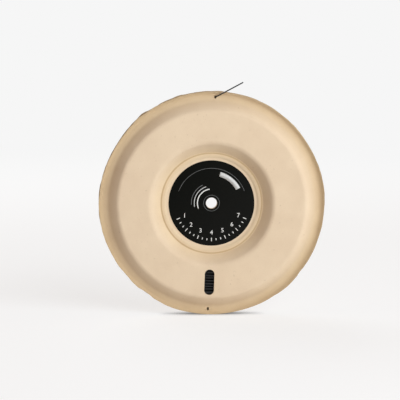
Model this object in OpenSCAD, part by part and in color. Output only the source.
// A reel of racket string: two moulded-pulp flanges, glued back to back at their hubs, hold the
// winding between them. The reel stands on its rims. Its spin axis is Y, its front faces -Y,
// Z is up and the origin is the middle of the spindle bore. All sizes are in millimetres.

/* [Flanges] */
// Outside diameter of both flanges
flange_d = 213.6; // [205:0.2:250]
// Thickness of the pulp wall
pulp_t = 2; // [1.4:0.1:2.6]
// Diameter of the flat hub disc at the bottom of the recess
hub_d = 98.2; // [92:0.2:104]
// Radial width of the slope from the hub disc up to the plateau
hub_slope_w = 9.5; // [9:0.5:14]
// Radial width of the slope from the plateau down to the valley
rim_slope_w = 9.3; // [9:0.1:12]
// Radial width of the valley, which still falls a little towards the rim
valley_w = 4.7; // [4.5:0.1:7]
// Radial width of the flared lip
lip_w = 3.2; // [3:0.1:6]
// Height of the plateau above the hub disc
plateau_rise = 11; // [8:0.5:13]
// Height of the valley's inner corner above the hub disc
valley_in_rise = 2.6; // [2:0.1:4]
// Height of its outer corner above the hub disc
valley_out_rise = 1.8; // [1.8:0.1:3]
// Height of the lip's edge above that corner
lip_rise = 1.7; // [1:0.1:3]
// Outer radius of the bend from the hub slope to the plateau
inner_bend_r = 7; // [4:0.5:8]
// Outer radius of the bend from the plateau to the rim slope
outer_bend_r = 6; // [4:0.5:7]
// Outer radius of the bend from the rim slope to the valley
valley_in_bend_r = 6.5; // [4:0.5:8]
// Outer radius of the bend from the valley to the lip
valley_out_bend_r = 4.5; // [3:0.5:6]
// Outer radius of the crease round the hub disc
crease_r = 0.8; // [0.3:0.1:3]

/* [Spindle bore] */
// Diameter of the bore through both hubs
bore_d = 10.5; // [8:0.5:20]

/* [Hub glue] */
// Thickness of the glue between the two hub discs
glue_t = 0.4; // [0.2:0.1:1]
// Width of bare hub left between the bore and the glue
glue_bore_margin = 6; // [3:1:12]
// Width of bare hub left between the glue and the edge of the hub disc
glue_edge_margin = 6; // [3:1:12]

/* [Labels] */
// Diameter of the round paper labels
label_d = 82; // [50:1:86]
// Thickness of a label
label_t = 0.2; // [0.1:0.05:0.5]
// Clearance of the label's hole round the bore
label_hole_gap = 0.1; // [0:0.05:1]

/* [Window slot] */
// Length of the slot that shows how much string is left
slot_l = 24.5; // [12:0.1:26]
// Width of the slot
slot_w = 9.3; // [5:0.1:12]
// Distance from the outer edge of the plateau in to the middle of the slot
slot_in = 14.8; // [13.5:0.1:16]

/* [String holes] */
// Length of each hole along the radius of the flange
string_hole_l = 3.2; // [2.4:0.1:4]
// Width of each hole
string_hole_w = 1.9; // [1.6:0.1:2.4]
// Distance from the rim in to the middle of each hole
string_hole_in = 5.1; // [4.5:0.1:7]

/* [String] */
// Diameter of the string
string_d = 1.25; // [1:0.05:1.45]
// Distance from the outer edge of the plateau in to the outside of the winding
fill_in = 3.1; // [1:0.1:20]
// Distance from the edge of the hub disc out to the innermost turns
winding_start = 3; // [2.5:0.5:8]
// Clearance between the winding and the pulp
winding_gap = 0.3; // [0.1:0.05:1]

/* [Stance] */
// How far the reel has rolled from standing with its front slot straight down, in degrees
reel_turn = 2; // [-45:1:45]
// How much further the rear flange is turned than the front one, in degrees
rear_turn = 15; // [-180:5:180]

/* [Hidden] */
bore_r = bore_d / 2;
hub_r = hub_d / 2;
rim_r = flange_d / 2;
valley_out_r = rim_r - lip_w;
valley_in_r = valley_out_r - valley_w;
plateau_out_r = valley_in_r - rim_slope_w;
plateau_in_r = hub_r + hub_slope_w;
hub_h = glue_t / 2 + pulp_t;
plateau_h = hub_h + plateau_rise;
valley_in_h = hub_h + valley_in_rise;
valley_out_h = hub_h + valley_out_rise;
lip_h = valley_out_h + lip_rise;
slot_r = plateau_out_r - slot_in;
string_hole_r = rim_r - string_hole_in;
winding_in_r = hub_r + winding_start;
winding_r = plateau_out_r - fill_in;

// Corners of the outer face of a flange, [radius, height above the middle plane], from the bore out
face_corners = [
    [bore_r, hub_h],
    [hub_r, hub_h],
    [plateau_in_r, plateau_h],
    [plateau_out_r, plateau_h],
    [valley_in_r, valley_in_h],
    [valley_out_r, valley_out_h],
    [rim_r, lip_h]
];
// Radius of the bend at each of those corners, on the outer face. The two ends are square.
face_bends = [
    0, crease_r, inner_bend_r, outer_bend_r, valley_in_bend_r, valley_out_bend_r, 0
];
last = len(face_corners) - 1;
bend_steps = 8;

pulp_colour = "#DFC7A8";
label_colour = "#171815";
string_colour = "#1B1B1D";
glue_colour = "#E9E4D6";
overshoot = 1;
tube_sides = 8;
tube_steps = 2;
$fn = 180;

// The string leaves the last turn of the winding and runs straight to the hole in the front lip.
// Its routes are for a reel with its slot straight down, and roll with it.
lead_r = winding_r + winding_gap + string_d / 2;
leave_angle = acos(lead_r / string_hole_r);
ahead = [cos(leave_angle), 0, sin(leave_angle)];
// Share of the valley's width at which that hole is
string_hole_share = (string_hole_r - valley_in_r) / valley_w;
// Height of its middle, half-way through the wall
string_hole_h = valley_in_h + (valley_out_h - valley_in_h) * string_hole_share - pulp_t / 2;
hole_middle = [0, -string_hole_h, string_hole_r];
// Angle of the last turn that is part of the lead, and how far behind the middle plane it starts
lead_wrap = 28;
lead_wrap_steps = 4;
lead_start_y = 1;
// Share of the straight stretch at each of its points
lead_shares = [0.3, 0.6, 0.85];
// Bend into the hole, then the free end: [distance along the straight line, distance towards the front]
lead_bend = [[-3, -4.1], [-1.5, -3.7], [-0.45, -2.6], [0, -1.4], [0, 0]];
tail_steps = [
    [0, 0], [0, 1.1], [0.5, 2.2], [1.8, 3.0],
    [5.7, 3.8], [11.5, 4.7], [19.6, 5.8], [29.6, 7.1]
];
// A direction that the string never runs along, which keeps the tube's rings in line
tube_side = [-0.49, 0, 0.87];

function unit(v) = v / norm(v);
function turned(v, angle) = [
    v[0] * cos(angle) - v[1] * sin(angle),
    v[0] * sin(angle) + v[1] * cos(angle)
];

// The direction square to the stretch of path p that starts at corner i
function across(p, i) = let(v = unit(p[i + 1] - p[i])) [-v[1], v[0]];

// Corner i of the outer face, moved depth into the wall. The two ends stay at their radius.
function sunk(i, depth) =
    i == 0 ? face_corners[0] - [0, depth / across(face_corners, 0)[1]] :
    i == last ? face_corners[last] - [0, depth / across(face_corners, last - 1)[1]] :
    let(a = across(face_corners, i - 1), b = across(face_corners, i))
    face_corners[i] - depth * (a + b) / (1 + a * b);

// An arc of radius r that rounds the corner b of the path from a to c
function rounded(a, b, c, r) =
    let(
        u = unit(a - b),
        v = unit(c - b),
        half = acos(u * v) / 2,
        centre = b + unit(u + v) * r / sin(half),
        start = b + u * r / tan(half) - centre,
        end = b + v * r / tan(half) - centre,
        sweep = (180 - 2 * half) * sign(start[0] * end[1] - start[1] * end[0])
    )
    [for (k = [0 : bend_steps]) centre + turned(start, sweep * k / bend_steps)];

// Whether corner i of the outer face stands out from the wall, as the plateau's two edges do
function stands_out(i) =
    let(a = face_corners[i] - face_corners[i - 1], b = face_corners[i + 1] - face_corners[i])
    a[0] * b[1] - a[1] * b[0] < 0;

// The bend at corner i, depth into the wall: tighter where the corner stands out, wider elsewhere
function wall_bend(i, depth) =
    rounded(
        sunk(i - 1, depth), sunk(i, depth), sunk(i + 1, depth),
        max(0.2, face_bends[i] + (stands_out(i) ? -depth : depth))
    );

// The wall's line, depth below the outer face, from corner first to the rim
function wall_line(depth, first) =
    concat(
        [sunk(first, depth)],
        [for (i = [first + 1 : last - 1]) each wall_bend(i, depth)],
        [sunk(last, depth)]
    );

function reversed(p) = [for (i = [len(p) - 1 : -1 : 0]) p[i]];

// A round-ended slot, its length along Y
module slot_outline(l, w) {
    square([w, l - w], center = true);
    for (end = [-1, 1])
        translate([0, end * (l - w) / 2])
            circle(d = w);
}

// A round-ended hole straight through the wall, r from the axis and towards side * Y
module wall_cut(l, w, r, side) {
    translate([0, side * r, -overshoot])
        linear_extrude(plateau_h + 2 * overshoot)
            slot_outline(l, w);
}

// One flange lying on the middle plane, its outer face up and its slot towards -Y
module pulp_half() {
    difference() {
        rotate_extrude()
            polygon(concat(wall_line(0, 0), reversed(wall_line(pulp_t, 0))));
        wall_cut(slot_l, slot_w, slot_r, -1);
        for (side = [-1, 1])
            wall_cut(string_hole_l, string_hole_w, string_hole_r, side);
    }
}

module front_flange() {
    color(pulp_colour)
        rotate([90, reel_turn, 0])
            pulp_half();
}

// The same moulding, turned over and glued on rear_turn further round
module rear_flange() {
    color(pulp_colour)
        rotate([90, -reel_turn - rear_turn, 180])
            pulp_half();
}

// A flat ring round the spin axis, from y_from towards +Y
module ring_plate(outer_d, inner_d, t, y_from) {
    translate([0, y_from + t, 0])
        rotate([90, 0, 0])
            difference() {
                cylinder(h = t, d = outer_d);
                translate([0, 0, -overshoot])
                    cylinder(h = t + 2 * overshoot, d = inner_d);
            }
}

module hub_glue() {
    color(glue_colour)
        ring_plate(hub_d - 2 * glue_edge_margin, bore_d + 2 * glue_bore_margin, glue_t, -glue_t / 2);
}

module front_label() {
    color(label_colour)
        ring_plate(label_d, bore_d + 2 * label_hole_gap, label_t, -hub_h - label_t);
}

module rear_label() {
    color(label_colour)
        ring_plate(label_d, bore_d + 2 * label_hole_gap, label_t, hub_h);
}

// Section of the space between the flanges, a clearance off both walls
module cavity_section() {
    line = wall_line(pulp_t + winding_gap, 1);
    front = [for (i = [1 : len(line) - 1]) line[i]];
    rear = [for (p = reversed(front)) [p[0], -p[1]]];
    polygon(concat([[line[0][0], 0]], front, rear));
}

module string_winding() {
    color(string_colour)
        rotate([90, 0, 0])
            rotate_extrude()
                intersection() {
                    cavity_section();
                    translate([winding_in_r, -plateau_h])
                        square([winding_r - winding_in_r, 2 * plateau_h]);
                }
}

// The direction of the route p at its point i
function heading(p, i) =
    unit(
        (i > 0 ? unit(p[i] - p[i - 1]) : [0, 0, 0]) +
        (i < len(p) - 1 ? unit(p[i + 1] - p[i]) : [0, 0, 0])
    );

// A point a share s of the way from point i of the route p to the next
function on_route(p, i, s) =
    let(
        reach = norm(p[i + 1] - p[i]),
        ease = s * s * (3 - 2 * s)
    )
    p[i] * (1 - ease) + p[i + 1] * ease
    + reach * heading(p, i) * s * (1 - s) * (1 - s)
    - reach * heading(p, i + 1) * s * s * (1 - s);

function smooth_route(p) =
    concat(
        [for (i = [0 : len(p) - 2], k = [0 : tube_steps - 1]) on_route(p, i, k / tube_steps)],
        [p[len(p) - 1]]
    );

// One ring of the tube round point i of the smooth route p
function tube_ring(p, i) =
    let(
        ahead = heading(p, i),
        wide = unit(cross(ahead, tube_side)),
        high = cross(wide, ahead)
    )
    [for (k = [0 : tube_sides - 1])
        let(angle = 360 * k / tube_sides)
        p[i] + string_d / 2 * (cos(angle) * wide + sin(angle) * high)];

module string_tube(points) {
    p = smooth_route(points);
    rings = len(p);
    sides = [
        for (i = [0 : rings - 2], k = [0 : tube_sides - 1])
            let(a = i * tube_sides, next = (k + 1) % tube_sides)
            [a + k, a + next, a + tube_sides + next, a + tube_sides + k]
    ];
    start_cap = [for (k = [tube_sides - 1 : -1 : 0]) k];
    end_cap = [for (k = [0 : tube_sides - 1]) (rings - 1) * tube_sides + k];
    color(string_colour)
        rotate([0, reel_turn, 0])
            polyhedron(
                points = [for (i = [0 : rings - 1]) each tube_ring(p, i)],
                faces = concat([start_cap], sides, [end_cap]),
                convexity = 4
            );
}

// A point of the last turn, a share of the lead's wrap before the string leaves the winding
function on_last_turn(share) =
    let(angle = leave_angle + lead_wrap * share)
    [-lead_r * sin(angle), lead_start_y * share, lead_r * cos(angle)];

// A point near the hole, from its distances along the straight line and towards the front
function near_hole(step) = hole_middle + step[0] * ahead - [0, step[1], 0];

module string_lead() {
    leave = on_last_turn(0);
    bend = [for (step = lead_bend) near_hole(step)];
    string_tube(concat(
        [for (k = [lead_wrap_steps : -1 : 1]) on_last_turn(k / lead_wrap_steps)],
        [leave],
        [for (share = lead_shares) leave * (1 - share) + bend[0] * share],
        bend
    ));
}

module string_tail() {
    string_tube([for (step = tail_steps) near_hole(step)]);
}

front_flange();
rear_flange();
hub_glue();
front_label();
rear_label();
string_winding();
string_lead();
string_tail();
